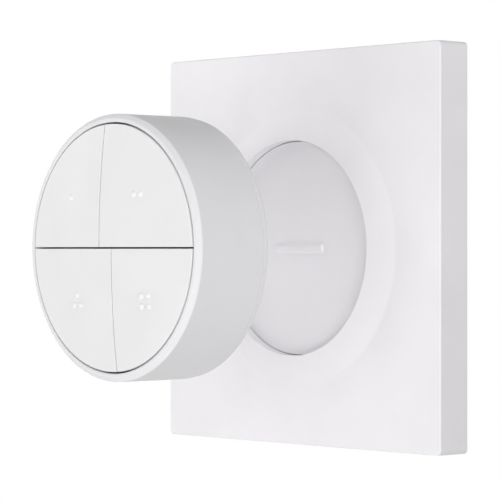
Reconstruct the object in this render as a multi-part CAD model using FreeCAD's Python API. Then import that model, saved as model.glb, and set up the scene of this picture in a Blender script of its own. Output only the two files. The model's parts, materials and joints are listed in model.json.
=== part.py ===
import FreeCAD, Part
import math
import os

V = FreeCAD.Vector

# A battery wall switch: a square cover plate with a raised round collar, and a round puck that
# lifts off it. The puck has a turning ring and four push buttons.
# Frame: the wall is the plane Y = 0, the switch stands out of it towards -Y, and Z is up.
# All sizes are millimetres.

# Cover plate
plate_side = 80.0
plate_depth = 7.6
plate_wall = 2.0
plate_corner_radius = 1.0
plate_edge_radius = 0.35
collar_width = 6.15
collar_height = 2.07
collar_foot_blend = 6.0
collar_tube_wall = 1.6
collar_tube_depth = 2.6
mouth_edge_radius = 0.25
ledge_reach = 0.7
ledge_depth = 1.0
ledge_from_wall = 2.0
snap_width = 12.0
snap_clearance = 0.2

# Floor disc that the puck docks on
dock_clearance = 0.45
disc_clearance = 0.15
disc_thickness = 1.8
dish_depth = 0.75
rib_length = 13.9
rib_width = 0.9
rib_height = 0.85
rib_flank_spread = 0.75
rib_end_spread = 0.7
rib_root = 0.2
rib_edge_radius = 0.2
keeper_inset = 1.0
keeper_thickness = 1.0

# Mounting base behind the cover
base_gap = 0.6
base_thickness = 1.6
base_corner_radius = 3.0
cup_inset = 1.3
cup_wall = 1.6
cup_web = 1.4
cup_window_radius = 6.0
finger_thickness = 1.0
barb_depth = 1.1
stiffener_width = 1.4
stiffener_height = 1.6
stiffener_length = 24.0
slot_spacing = 60.0
slot_width = 4.2
slot_length = 8.0
pad_side = 18.0
pad_offset = 25.0
pad_thickness = 0.9
dock_screw_count = 3
dock_screw_circle = 12.0
dock_screw_radius = 1.25
dock_screw_bite = 1.6
dock_head_radius = 2.2
dock_head_height = 1.3
dock_boss_radius = 2.2

# Cross recess of a screw, as shares of its head
recess_reach = 0.6
recess_half_width = 0.125
recess_depth = 0.5

# Where the puck hangs when it is lifted off, and how near it comes when it is docked
lifted_gap = 31.3
docked_gap = 2.6
seat_clearance = 0.15

# Turning ring
dial_wall = 1.4
dial_lip_width = 1.6
dial_lip_depth = 1.6
dial_chamfer_width = 0.85
dial_chamfer_depth = 0.92
dial_small_round = 0.15
land_thickness = 1.0
running_clearance = 0.08
axial_clearance = 0.08
detent_count = 30
detent_wall = 1.2
detent_tool_radius = 1.0
detent_bite = 0.4
detent_thickness = 2.0
magnet_ring_wall = 1.3
magnet_ring_gap = 0.5
magnet_ring_depth = 4.0

# Button caps
button_gap = 0.4
split_offset = 1.8
dome_height = 1.5
cap_shell = 1.3
cap_skirt_wall = 1.0
cap_skirt_depth = 2.4
cap_edge_round = 0.2
press_travel = 0.4
dot_spread_x = 10.05
dot_shift_x = 1.05
dot_spread_z = 10.0
dot_pitch = 1.9
dot_radius = 0.5
dot_height = 0.32
post_radius = 1.6
post_clearance = 0.25
leg_width = 2.4
leg_thickness = 1.0
leg_clearance = 0.2
hook_reach = 0.45
hook_depth = 0.9
hook_clearance = 0.05
side_leg_x = 14.5
side_leg_z = 3.4
end_leg_x = 4.8
end_leg_z = 15.3

# Chassis, circuit board and switches
travel_clearance = 0.2
chassis_thickness = 1.0
chassis_clearance = 0.3
spigot_wall = 1.1
spigot_height = 1.0
spigot_clearance = 0.1
board_standoff = 3.6
board_thickness = 1.0
board_clearance = 0.4
switch_side = 5.2
switch_height = 1.5
plunger_radius = 1.2
plunger_height = 0.5
plunger_stem = 0.8
plunger_clearance = 0.08

# Rear housing
puck_depth = 17.6
housing_step = 0.62
housing_wall = 1.22
ring_space = 0.98
rim_inset = 0.15
rim_thickness = 1.2
rim_chamfer = 0.3
pilot_height = 1.1
glide_thickness = 0.3
glide_groove = 0.2
glide_wall = 0.9
glide_clearance = 0.05
hub_wall = 1.5
hub_edge_round = 0.4
rear_wall = 2.05
fixing_margin = 2.5
fixing_count = 4
boss_radius = 2.45
boss_bite = 0.15
screw_radius = 1.0
screw_hole_clearance = 0.1
screw_head_radius = 1.9
screw_head_height = 1.2
screw_head_clearance = 0.1
screw_seat_wall = 0.5
screw_bite = 2.6
magnet_radius = 2.0
magnet_thickness = 1.2
magnet_clearance = 0.05
grip_inner_margin = 0.6
grip_outer_margin = 0.9
grip_thickness = 0.45
grip_clearance = 0.05

# Detent leaf in its pocket in the housing wall
detent_angle = 45.0
leaf_thickness = 0.25
leaf_half_span = 5.6
leaf_rise = 2.35
leaf_nub_radius = 0.6
leaf_clearance = 0.05
pocket_margin = 0.6
pocket_wall = 1.0
pocket_end_wall = 0.4

# Battery, its holder and contacts
cell_radius = 10.0
cell_height = 3.2
cell_cap_radius = 8.7
cell_cap_height = 0.4
holder_clearance = 0.3
holder_wall = 1.0
holder_floor = 1.0
holder_rest = 0.2
contact_thickness = 0.2
contact_width = 3.0
contact_gap = 0.05
contact_margin = 0.3
positive_foot = 2.8
negative_foot_start = -6.0
negative_foot_end = -2.0
negative_touch = 2.2
negative_tail = 1.2
negative_tail_drop = 0.8

# Battery cover
cover_plug_margin = 2.6
cover_overlap = 0.7
cover_clearance = 0.2
cover_plug_wall = 1.2
cover_web = 1.4
press_ring_radius = 8.0
press_ring_wall = 1.0
lip_thickness = 1.0
lug_count = 3
lug_first_angle = 90.0
lug_reach = 1.6
lug_thickness = 1.0
lug_width_angle = 24.0
lug_clearance = 0.05
notch_margin_angle = 3.0
cover_turn_angle = 30.0
stop_width_angle = 3.0
stop_gap_angle = 1.0
stop_overlap = 0.2
coin_slot_depth = 1.2
coin_slot_clearance = 0.3

# Parts on the board
radio_width = 10.5
radio_length = 12.0
radio_board = 0.8
radio_can = 1.4
radio_can_margin = 0.8
sensor_width = 2.9
sensor_depth = 1.6
sensor_height = 1.1
sensor_inset = 1.3
sensor_middle_angle = 225.0
sensor_spread_angle = 16.0
processor_side = 5.0
processor_height = 0.9
processor_angle = 135.0
crystal_width = 3.2
crystal_depth = 1.6
crystal_angle = 110.0
inductor_side = 4.0
inductor_height = 1.8
inductor_angle = 315.0
capacitor_width = 0.8
capacitor_depth = 1.6
capacitor_angles = [155.0, 160.0, 290.0, 295.0, 340.0]
small_part_height = 0.8

# Radii, from the cell outwards: cover, fixings, hub, housing, ring, then the dock round the hub
holder_radius = cell_radius + holder_clearance + holder_wall
cover_plug_radius = cell_radius + cover_plug_margin
lug_radius = cover_plug_radius + lug_reach
cover_radius = lug_radius + cover_overlap
fixing_circle = cover_radius + cover_clearance + fixing_margin
hub_inner_radius = fixing_circle + boss_radius - boss_bite
hub_radius = hub_inner_radius + hub_wall
housing_radius = hub_radius + housing_step
housing_inner_radius = housing_radius - housing_wall
detent_crest_radius = housing_radius + ring_space
dial_inner_radius = detent_crest_radius + detent_wall
dial_radius = dial_inner_radius + dial_wall
dial_lip_radius = dial_radius - dial_lip_width
rim_radius = dial_radius - rim_inset
grip_inner_radius = cover_radius + grip_inner_margin
grip_outer_radius = hub_radius - grip_outer_margin
small_part_circle = (holder_radius + hub_inner_radius) / 2
sensor_circle = hub_inner_radius - sensor_inset
collar_mouth_radius = hub_radius + dock_clearance
collar_foot_radius = collar_mouth_radius + collar_width
disc_radius = collar_mouth_radius - disc_clearance
cup_radius = disc_radius - cup_inset
keeper_radius = cup_radius - keeper_inset

# Levels on the wall side, along Y
plate_face = -plate_depth
disc_back = plate_face + disc_thickness
keeper_back = disc_back + keeper_thickness
web_back = keeper_back + cup_web
cavity_half = plate_side / 2 - plate_wall
base_half = cavity_half - base_gap
ledge_inner = cavity_half - ledge_reach
side_angles = [0, 90, 180, 270]
corner_angles = [45, 135, 225, 315]
dish_ball_radius = (disc_radius ** 2 + dish_depth ** 2) / (2 * dish_depth)
dock_screw_angles = [90.0 + 360.0 * turn / dock_screw_count for turn in range(dock_screw_count)]

# Levels inside the puck, measured back from the ring's front face
cap_radius = dial_lip_radius - button_gap
dome_ball_radius = (cap_radius ** 2 + dome_height ** 2) / (2 * dome_height)
dome_ball_centre = dome_ball_radius - dome_height
clear_of_dome = -2 * dome_height
chassis_front = cap_skirt_depth + press_travel + travel_clearance
chassis_back = chassis_front + chassis_thickness
land_front = chassis_back + axial_clearance
land_back = land_front + land_thickness
detent_back = land_back + detent_thickness
magnet_ring_front = detent_back + magnet_ring_gap
board_front = chassis_back + board_standoff
board_back = board_front + board_thickness
board_radius = housing_inner_radius - board_clearance
switch_front = board_front - switch_height
plunger_front = switch_front - plunger_height
pilot_radius = dial_inner_radius - running_clearance
rim_front = puck_depth - rim_thickness
glide_back = rim_front + glide_groove
glide_front = glide_back - glide_thickness
dial_back = glide_front - glide_clearance
hub_edge_back = puck_depth + docked_gap - seat_clearance
hub_ball_centre = hub_edge_back - math.sqrt(dish_ball_radius ** 2 - hub_radius ** 2)
hub_crown_back = hub_ball_centre + dish_ball_radius
inner_floor = hub_edge_back - rear_wall
lip_back = inner_floor + lip_thickness
lug_back = inner_floor - lug_clearance
lug_front = lug_back - lug_thickness
lug_angles = [lug_first_angle + 360.0 * turn / lug_count for turn in range(lug_count)]
cell_back = lug_front - lug_clearance
cell_front = cell_back - cell_height
holder_floor_back = cell_front - holder_rest
coin_slot_floor = hub_crown_back - coin_slot_depth
screw_seat = inner_floor + screw_seat_wall
screw_tip = board_front - screw_bite
fixing_angles = [360.0 * turn / fixing_count for turn in range(fixing_count)]
magnet_angles = [angle + 180.0 / fixing_count for angle in fixing_angles]

# The bowed leaf, seen along Y with its nub on +X
nub_tip = detent_crest_radius - leaf_clearance
leaf_apex = nub_tip - leaf_nub_radius
leaf_bow_radius = (leaf_half_span ** 2 + leaf_rise ** 2) / (2 * leaf_rise)
leaf_bow_centre = leaf_apex - leaf_bow_radius
leaf_inner_radius = leaf_bow_radius - leaf_thickness
pocket_floor = leaf_bow_centre + math.sqrt(leaf_inner_radius ** 2 - leaf_half_span ** 2)
pocket_half = leaf_half_span + pocket_margin

# The side of the face that each button is on, by its number of dots: column, then row
button_sides = {1: (-1, 1), 2: (1, 1), 3: (-1, -1), 4: (1, -1)}

# Where a button's dots lie round their centre, in pitches
dot_patterns = {
    1: [(0, 0)],
    2: [(-0.5, 0), (0.5, 0)],
    3: [(0, 0.5), (-0.5, -0.5), (0.5, -0.5)],
    4: [(-0.5, 0.5), (0.5, 0.5), (-0.5, -0.5), (0.5, -0.5)],
}


def cylinder(radius, front, back, x=0.0, z=0.0):
    return Part.makeCylinder(radius, back - front, V(x, front, z), V(0, 1, 0))


def ring(outer, inner, front, back):
    return cylinder(outer, front, back).cut(cylinder(inner, front, back))


def box(x_low, x_high, y_low, y_high, z_low, z_high):
    return Part.makeBox(x_high - x_low, y_high - y_low, z_high - z_low, V(x_low, y_low, z_low))


def ball(radius, centre_y):
    return Part.makeSphere(radius, V(0, centre_y, 0))


def outline(points):
    """A flat face through (x, y) points."""
    corners = [V(x, y, 0) for x, y in points]
    return Part.Face(Part.makePolygon(corners + [corners[0]]))


def turned(points):
    """A solid turned about the Y axis from (radius, y) points."""
    return outline(points).revolve(V(0, 0, 0), V(0, 1, 0), 360)


def around(shape, angle):
    """A copy turned about the Y axis, with the angle counted from +X towards +Z."""
    copy = shape.copy()
    copy.rotate(V(0, 0, 0), V(0, 1, 0), -angle)
    return copy


def sector(outer, inner, front, back, middle_angle, width_angle):
    """A part of a ring, as wide as the angle says."""
    face = outline([(inner, front), (outer, front), (outer, back), (inner, back)])
    wedge = face.revolve(V(0, 0, 0), V(0, -1, 0), width_angle)
    return around(wedge, middle_angle - width_angle / 2)


def polar(radius, angle):
    return radius * math.cos(math.radians(angle)), radius * math.sin(math.radians(angle))


def on_circle(shape, radius, angles):
    """Copies moved sideways from the Y axis to places on a circle round it, all one way up."""
    copies = []
    for angle in angles:
        x, z = polar(radius, angle)
        copy = shape.copy()
        copy.translate(V(x, 0, z))
        copies.append(copy)
    return copies


def runs_along_y(edge):
    return edge.tangentAt(edge.FirstParameter).cross(V(0, 1, 0)).Length < 1e-6


def round_corners(shape, radius):
    return shape.makeFillet(radius, [edge for edge in shape.Edges if runs_along_y(edge)])


def flat_edges(shape, y):
    """The edges that lie in the plane at this y."""
    spans = [(edge, edge.BoundBox) for edge in shape.Edges]
    return [edge for edge, span in spans if max(abs(span.YMin - y), abs(span.YMax - y)) < 1e-4]


def circles(shape, radius, y):
    """The round edges of this radius in the plane at this y."""
    rounds = [edge for edge in flat_edges(shape, y) if isinstance(edge.Curve, Part.Circle)]
    return [edge for edge in rounds if abs(edge.Curve.Radius - radius) < 1e-4]


def joined(first, others):
    return first.fuse(others).removeSplitter()


def screw(shaft_radius, head_radius, head_height, tip, seat):
    """A pan-head screw along Y with its head at the back and a cross recess."""
    back = seat + head_height
    floor = back - head_height * recess_depth
    arm = head_radius * recess_reach
    half_width = head_radius * recess_half_width
    slit = box(-arm, arm, floor, back, -half_width, half_width)
    head = cylinder(head_radius, seat, back).cut([slit, around(slit, 90)])
    return joined(cylinder(shaft_radius, tip, seat), [head])


def side_step(points, index, step):
    """The corner of a bent line after the line is moved sideways by a step."""
    here = V(points[index][0], points[index][1], 0)
    before = V(*points[max(index - 1, 0)], 0)
    after = V(*points[min(index + 1, len(points) - 1)], 0)
    arriving = (here - before if index > 0 else after - here).normalize()
    leaving = (after - here if index < len(points) - 1 else here - before).normalize()
    normals = V(-arriving.y, arriving.x, 0) + V(-leaving.y, leaving.x, 0)
    corner = here + normals * (step / (1 + arriving.dot(leaving)))
    return corner.x, corner.y


def bent_strip(points, thickness, width):
    """Sheet metal whose middle follows (x, y) points, with its width centred on Z = 0."""
    left = [side_step(points, index, thickness / 2) for index in range(len(points))]
    right = [side_step(points, index, -thickness / 2) for index in range(len(points))]
    solid = outline(left + right[::-1]).extrude(V(0, 0, width))
    solid.translate(V(0, 0, -width / 2))
    return solid


def save(name, shape):
    """Writes one node, and says how many solids it holds."""
    assert shape.isValid(), name
    shape.exportStep("parts/" + name + ".step")
    print(name, len(shape.Solids), round(shape.Volume, 1))


def save_in_puck(name, shape):
    """Puck pieces are modelled from the ring's front face, then moved to where the puck hangs."""
    moved = shape.copy()
    moved.translate(V(0, plate_face - lifted_gap - puck_depth, 0))
    save(name, moved)


# Wall side

def collar():
    """The raised collar round the hole: a shallow cone that blends into the plate at its foot."""
    slope = math.atan2(collar_height, collar_foot_radius - collar_mouth_radius)
    run = collar_foot_blend * math.tan(slope / 2)
    blend_start = V(collar_foot_radius + run, plate_face, 0)
    blend_middle = blend_start - V(
        collar_foot_blend * math.sin(slope / 2), collar_foot_blend * (1 - math.cos(slope / 2)), 0)
    blend_end = V(collar_foot_radius - run * math.cos(slope), plate_face - run * math.sin(slope), 0)
    tube_outer = collar_mouth_radius + collar_tube_wall
    corners = [
        blend_end,
        V(collar_mouth_radius, plate_face - collar_height, 0),
        V(collar_mouth_radius, plate_face + collar_tube_depth, 0),
        V(tube_outer, plate_face + collar_tube_depth, 0),
        V(tube_outer, plate_face + plate_wall / 2, 0),
        V(blend_start.x, plate_face + plate_wall / 2, 0),
        blend_start,
    ]
    blend = Part.Arc(blend_start, blend_middle, blend_end).toShape()
    section = Part.Wire([blend] + Part.makePolygon(corners).Edges)
    solid = Part.Face(section).revolve(V(0, 0, 0), V(0, 1, 0), 360)
    hollow_rise = (collar_foot_radius - tube_outer) * math.tan(slope)
    hollow = turned([
        (tube_outer, plate_face + plate_wall),
        (collar_foot_radius, plate_face + plate_wall),
        (tube_outer, plate_face + plate_wall - hollow_rise),
    ])
    return solid, hollow


def wall_plate():
    half = plate_side / 2
    shell = round_corners(box(-half, half, plate_face, 0, -half, half), plate_corner_radius)
    shell = shell.makeFillet(plate_edge_radius, flat_edges(shell, plate_face))
    inner = cavity_half
    cavity = box(-inner, inner, plate_face + plate_wall, plate_wall, -inner, inner)
    shell = shell.cut(round_corners(cavity, plate_corner_radius))
    shell = shell.cut(cylinder(collar_mouth_radius, plate_face, 0))
    raised, hollow = collar()
    ledge_back = -ledge_from_wall
    ledge = box(
        ledge_inner, cavity_half + plate_wall / 2, ledge_back - ledge_depth, ledge_back,
        -snap_width / 2, snap_width / 2)
    ledges = [around(ledge, angle) for angle in side_angles]
    shell = joined(shell, [raised]).cut(hollow)
    shell = joined(shell, ledges)
    mouth = circles(shell, collar_mouth_radius, plate_face - collar_height)
    return shell.makeFillet(mouth_edge_radius, mouth)


def snap_finger():
    """A springy finger on the base that holds the cover by its ledge."""
    outer = ledge_inner - snap_clearance
    barb_back = -ledge_from_wall - ledge_depth - snap_clearance / 2
    barb_front = barb_back - barb_depth
    half = snap_width / 2 - snap_clearance
    inner = outer - finger_thickness
    finger = box(inner, outer, barb_front, -base_thickness / 2, -half, half)
    barb = box(inner, cavity_half - snap_clearance, barb_front, barb_back, -half, half)
    return finger.fuse(barb)


def wall_screw_slot():
    """A slot for a wall-box screw, running outwards along X."""
    straight = (slot_length - slot_width) / 2
    middle = slot_spacing / 2
    radius = slot_width / 2
    slot = box(middle - straight, middle + straight, -base_thickness, 0, -radius, radius)
    ends = [cylinder(radius, -base_thickness, 0, middle + side * straight) for side in (-1, 1)]
    return slot.fuse(ends)


def mounting_base():
    plate = box(-base_half, base_half, -base_thickness, 0, -base_half, base_half)
    stiffener_start = cup_radius - cup_wall / 2
    stiffener = box(
        stiffener_start, stiffener_start + stiffener_length,
        -base_thickness - stiffener_height, -base_thickness / 2,
        -stiffener_width / 2, stiffener_width / 2)
    additions = [cylinder(cup_radius, keeper_back, 0)]
    additions += [around(stiffener, angle) for angle in corner_angles]
    additions += [around(snap_finger(), angle) for angle in side_angles]
    base = joined(round_corners(plate, base_corner_radius), additions)
    cuts = [
        cylinder(cup_radius - cup_wall, web_back, 0),
        cylinder(cup_window_radius, keeper_back, web_back),
    ]
    screw_hole = cylinder(dock_screw_radius + screw_hole_clearance, keeper_back, web_back)
    cuts += on_circle(screw_hole, dock_screw_circle, dock_screw_angles)
    cuts += [around(wall_screw_slot(), angle) for angle in side_angles]
    cuts += pad_blocks()
    return base.cut(cuts)


def pad_blocks():
    near = pad_offset - pad_side / 2
    far = pad_offset + pad_side / 2
    pad = box(near, far, -pad_thickness, 0, near, far)
    return [around(pad, angle) for angle in side_angles]


def keeper_plate():
    """The steel disc that the puck's magnets pull on."""
    hole = cylinder(dock_boss_radius + disc_clearance, disc_back, keeper_back)
    holes = on_circle(hole, dock_screw_circle, dock_screw_angles)
    return cylinder(keeper_radius, disc_back, keeper_back).cut(holes)


def dock_rib():
    """The straight rib that drops into the puck's coin slot and keeps the puck upright."""
    front = plate_face + dish_depth - rib_height
    foot = plate_face + dish_depth + rib_root
    spread = (foot - front) / rib_height

    def frame(y, half_length, half_width):
        corners = [
            V(-half_length, y, -half_width), V(half_length, y, -half_width),
            V(half_length, y, half_width), V(-half_length, y, half_width)]
        return Part.makePolygon(corners + [corners[0]])

    top = frame(front, rib_length / 2, rib_width / 2)
    bottom = frame(
        foot, rib_length / 2 + rib_end_spread * spread, rib_width / 2 + rib_flank_spread * spread)
    rib = Part.makeLoft([top, bottom], True, True)
    return rib.makeFillet(rib_edge_radius, flat_edges(rib, front))


def dock_disc():
    disc = cylinder(disc_radius, plate_face, disc_back)
    disc = disc.cut(ball(dish_ball_radius, plate_face + dish_depth - dish_ball_radius))
    boss = cylinder(dock_boss_radius, disc_back, keeper_back)
    pilot = cylinder(dock_screw_radius, keeper_back - dock_screw_bite, keeper_back)
    bosses = on_circle(boss, dock_screw_circle, dock_screw_angles)
    pilots = on_circle(pilot, dock_screw_circle, dock_screw_angles)
    return joined(disc, bosses + [dock_rib()]).cut(pilots)


def dock_screws():
    tip = keeper_back - dock_screw_bite
    one = screw(dock_screw_radius, dock_head_radius, dock_head_height, tip, web_back)
    return Part.makeCompound(on_circle(one, dock_screw_circle, dock_screw_angles))


# Turning ring

def dial_ring():
    land_inner = housing_radius + running_clearance
    outside = [
        (dial_lip_radius, 0),
        (dial_radius - dial_chamfer_width, 0),
        (dial_radius, dial_chamfer_depth),
        (dial_radius, dial_back),
    ]
    dial = turned(outside + [
        (dial_inner_radius, dial_back),
        (dial_inner_radius, land_back),
        (land_inner, land_back),
        (land_inner, land_front),
        (dial_inner_radius, land_front),
        (dial_inner_radius, dial_lip_depth),
        (dial_lip_radius, dial_lip_depth),
    ])
    edges = [edge for radius, y in outside for edge in circles(dial, radius, y)]
    return dial.makeFillet(dial_small_round, edges)


def detent_ring():
    """A ring with hollows on its inside that the leaf's nub clicks along."""
    blank = ring(dial_inner_radius, detent_crest_radius, land_back, detent_back)
    tool = cylinder(detent_tool_radius, land_back, detent_back)
    tool_circle = detent_crest_radius + detent_bite - detent_tool_radius
    angles = [detent_angle + 360.0 * turn / detent_count for turn in range(detent_count)]
    return blank.cut(on_circle(tool, tool_circle, angles))


def magnet_ring():
    inner = dial_inner_radius - magnet_ring_wall
    return ring(dial_inner_radius, inner, magnet_ring_front, magnet_ring_front + magnet_ring_depth)


# Buttons

def dome_front(x, z):
    """Where the domed face lies at this place."""
    return dome_ball_centre - math.sqrt(dome_ball_radius ** 2 - x ** 2 - z ** 2)


def dots_centre(column, row):
    return column * dot_spread_x - row * dot_shift_x, row * dot_spread_z


def button_field(column, row, inset):
    """The block of space that belongs to one button, drawn in from the splits by an inset."""
    split = -row * split_offset
    near = button_gap / 2 + inset
    x_low, x_high = (split + near, dial_radius) if column > 0 else (-dial_radius, split - near)
    z_low, z_high = (near, dial_radius) if row > 0 else (-dial_radius, -near)
    return box(x_low, x_high, clear_of_dome, chassis_back, z_low, z_high)


def leg_feet(column, row):
    """The two legs of a button as (x, z, angle that the hook points at)."""
    return [
        (column * side_leg_x, row * side_leg_z, 0 if column > 0 else 180),
        (column * end_leg_x, row * end_leg_z, 90 * row),
    ]


def leg_block(x, z, angle, front, back, extra_reach, margin):
    """A leg or its hole: thin along its hook's direction and wide across it."""
    half_thin = leg_thickness / 2 + margin
    half_wide = leg_width / 2 + margin
    block = box(-half_thin, half_thin + extra_reach, front, back, -half_wide, half_wide)
    block = around(block, angle)
    block.translate(V(x, 0, z))
    return block


def raised_dot(x, z):
    """One low round dot on the domed face."""
    bump_radius = (dot_radius ** 2 + dot_height ** 2) / (2 * dot_height)
    return Part.makeSphere(bump_radius, V(x, dome_front(x, z) - dot_height + bump_radius, z))


def cap_shell_piece(column, row):
    """The domed quarter of a button, open at its back."""
    blank = cylinder(cap_radius, clear_of_dome, cap_skirt_depth)
    blank = blank.common(ball(dome_ball_radius, dome_ball_centre)).common(button_field(column, row, 0))
    upper = [edge for edge in blank.Edges if edge.BoundBox.YMax < cap_skirt_depth - cap_edge_round]
    blank = blank.makeFillet(cap_edge_round, upper)
    hollow = cylinder(cap_radius - cap_skirt_wall, clear_of_dome, chassis_back)
    hollow = hollow.common(ball(dome_ball_radius - cap_shell, dome_ball_centre))
    return blank.cut(hollow.common(button_field(column, row, cap_skirt_wall)))


def button_cap(dots, column, row):
    x, z = dots_centre(column, row)
    additions = [cylinder(post_radius, dome_front(x, z) + cap_shell / 2, plunger_front, x, z)]
    for step_x, step_z in dot_patterns[dots]:
        additions.append(raised_dot(x + step_x * dot_pitch, z + step_z * dot_pitch))
    hook_front = chassis_back + hook_clearance
    hook_back = hook_front + hook_depth
    for x, z, angle in leg_feet(column, row):
        root = dome_front(x, z) + cap_shell / 2
        additions.append(leg_block(x, z, angle, root, hook_back, 0, 0))
        additions.append(leg_block(x, z, angle, hook_front, hook_back, hook_reach, 0))
    return joined(cap_shell_piece(column, row), additions)


def switch_plunger(column, row):
    x, z = dots_centre(column, row)
    return cylinder(plunger_radius, plunger_front, switch_front + plunger_stem, x, z)


def switch_body(column, row):
    x, z = dots_centre(column, row)
    half = switch_side / 2
    body = box(x - half, x + half, switch_front, board_front, z - half, z + half)
    well = cylinder(
        plunger_radius + plunger_clearance, switch_front,
        switch_front + plunger_stem + press_travel + plunger_clearance, x, z)
    return body.cut(well)


# Standing parts of the puck

def pocket_block(margin):
    """The block behind the housing wall that holds the detent leaf, with a margin all round."""
    half = pocket_half + pocket_wall + margin
    back = detent_back + pocket_end_wall
    block = box(pocket_floor - pocket_wall - margin, housing_radius, chassis_back, back, -half, half)
    block = block.common(cylinder(housing_radius - housing_wall / 2, chassis_back, back))
    return around(block, detent_angle)


def detent_spring():
    front = land_back + leaf_clearance
    back = detent_back - leaf_clearance
    bow = ring(leaf_bow_radius, leaf_inner_radius, front, back)
    bow.translate(V(leaf_bow_centre, 0, 0))
    bow = bow.common(box(pocket_floor, nub_tip, front, back, -leaf_half_span, leaf_half_span))
    nub = cylinder(leaf_nub_radius, front, back, leaf_apex)
    inside = box(leaf_apex - leaf_thickness / 2, nub_tip, front, back, -leaf_half_span, leaf_half_span)
    return around(joined(bow, [nub.common(inside)]), detent_angle)


def front_chassis():
    disc = cylinder(dial_inner_radius - chassis_clearance, chassis_front, chassis_back)
    spigot_radius = housing_inner_radius - spigot_clearance
    spigot = ring(spigot_radius, spigot_radius - spigot_wall, chassis_back, chassis_back + spigot_height)
    spigot = spigot.cut(pocket_block(spigot_clearance))
    boss = cylinder(boss_radius, chassis_back, board_front)
    chassis = joined(disc, [spigot] + on_circle(boss, fixing_circle, fixing_angles))
    pilot = cylinder(screw_radius, screw_tip, board_front)
    cuts = on_circle(pilot, fixing_circle, fixing_angles)
    for column, row in button_sides.values():
        x, z = dots_centre(column, row)
        cuts.append(cylinder(post_radius + post_clearance, chassis_front, chassis_back, x, z))
        for x, z, angle in leg_feet(column, row):
            cuts.append(leg_block(x, z, angle, chassis_front, chassis_back, 0, leg_clearance))
    return chassis.cut(cuts)


def circuit_board():
    hole = cylinder(screw_radius + screw_hole_clearance, board_front, board_back)
    board = cylinder(board_radius, board_front, board_back)
    return board.cut(on_circle(hole, fixing_circle, fixing_angles))


def radio_module():
    half_x = radio_width / 2
    half_z = radio_length / 2
    card_front = board_front - radio_board
    card = box(-half_x, half_x, card_front, board_front, -half_z, half_z)
    can = box(
        -half_x + radio_can_margin, half_x - radio_can_margin, card_front - radio_can, card_front,
        -half_z + radio_can_margin, half_z - radio_can_margin)
    return joined(card, [can])


def on_board_back(circle, angle, depth, width, height):
    """A small part on the board's back face, with its depth along the circle's radius."""
    near = circle - depth / 2
    part = box(near, near + depth, board_back, board_back + height, -width / 2, width / 2)
    return around(part, angle)


def rotation_sensors():
    sensors = []
    for side in (-1, 1):
        angle = sensor_middle_angle + side * sensor_spread_angle / 2
        sensors.append(on_board_back(sensor_circle, angle, sensor_depth, sensor_width, sensor_height))
    return Part.makeCompound(sensors)


def board_parts():
    circle = small_part_circle
    parts = [
        on_board_back(circle, processor_angle, processor_side, processor_side, processor_height),
        on_board_back(circle, crystal_angle, crystal_depth, crystal_width, small_part_height),
        on_board_back(circle, inductor_angle, inductor_side, inductor_side, inductor_height),
    ]
    for angle in capacitor_angles:
        parts.append(on_board_back(circle, angle, capacitor_depth, capacitor_width, small_part_height))
    return Part.makeCompound(parts)


def housing_outside():
    groove_outer = pilot_radius + glide_clearance + glide_wall + glide_clearance
    solid = turned([
        (0, chassis_back),
        (housing_radius, chassis_back),
        (housing_radius, rim_front - pilot_height),
        (pilot_radius, rim_front - pilot_height),
        (pilot_radius, glide_back),
        (groove_outer, glide_back),
        (groove_outer, rim_front),
        (rim_radius, rim_front),
        (rim_radius, puck_depth - rim_chamfer),
        (rim_radius - rim_chamfer, puck_depth),
        (hub_radius, puck_depth),
        (hub_radius, hub_crown_back),
        (0, hub_crown_back),
    ])
    solid = solid.common(ball(dish_ball_radius, hub_ball_centre))
    return solid.makeFillet(hub_edge_round, circles(solid, hub_radius, hub_edge_back))


def cover_opening():
    """What the battery cover's place takes out of the rear wall."""
    seat = cylinder(cover_radius + cover_clearance, lip_back, hub_crown_back)
    hole = cylinder(cover_plug_radius + cover_clearance, inner_floor, lip_back)
    notch_width = lug_width_angle + 2 * notch_margin_angle
    notches = []
    for angle in lug_angles:
        notches.append(sector(
            lug_radius + cover_clearance, cover_plug_radius, inner_floor, lip_back,
            angle + cover_turn_angle, notch_width))
    return [seat, hole] + notches


def lug_stops():
    """Blocks that end the cover's turn, two for each lug."""
    beside_lug = (lug_width_angle + stop_width_angle) / 2 + stop_gap_angle
    offsets = [-beside_lug, cover_turn_angle + notch_margin_angle + beside_lug]
    stops = []
    for angle in lug_angles:
        for offset in offsets:
            stops.append(sector(
                lug_radius + cover_clearance + stop_overlap,
                cover_plug_radius + cover_clearance + stop_overlap,
                lug_front, inner_floor, angle + offset, stop_width_angle))
    return stops


def grip_space(gap):
    """The thin curved ring of space that the grip pad fills, less a gap at both its edges."""
    band = ring(grip_outer_radius - gap, grip_inner_radius + gap, puck_depth, hub_crown_back)
    inner_ball = ball(dish_ball_radius, hub_ball_centre - grip_thickness)
    return band.common(ball(dish_ball_radius, hub_ball_centre)).cut(inner_ball)


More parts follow.
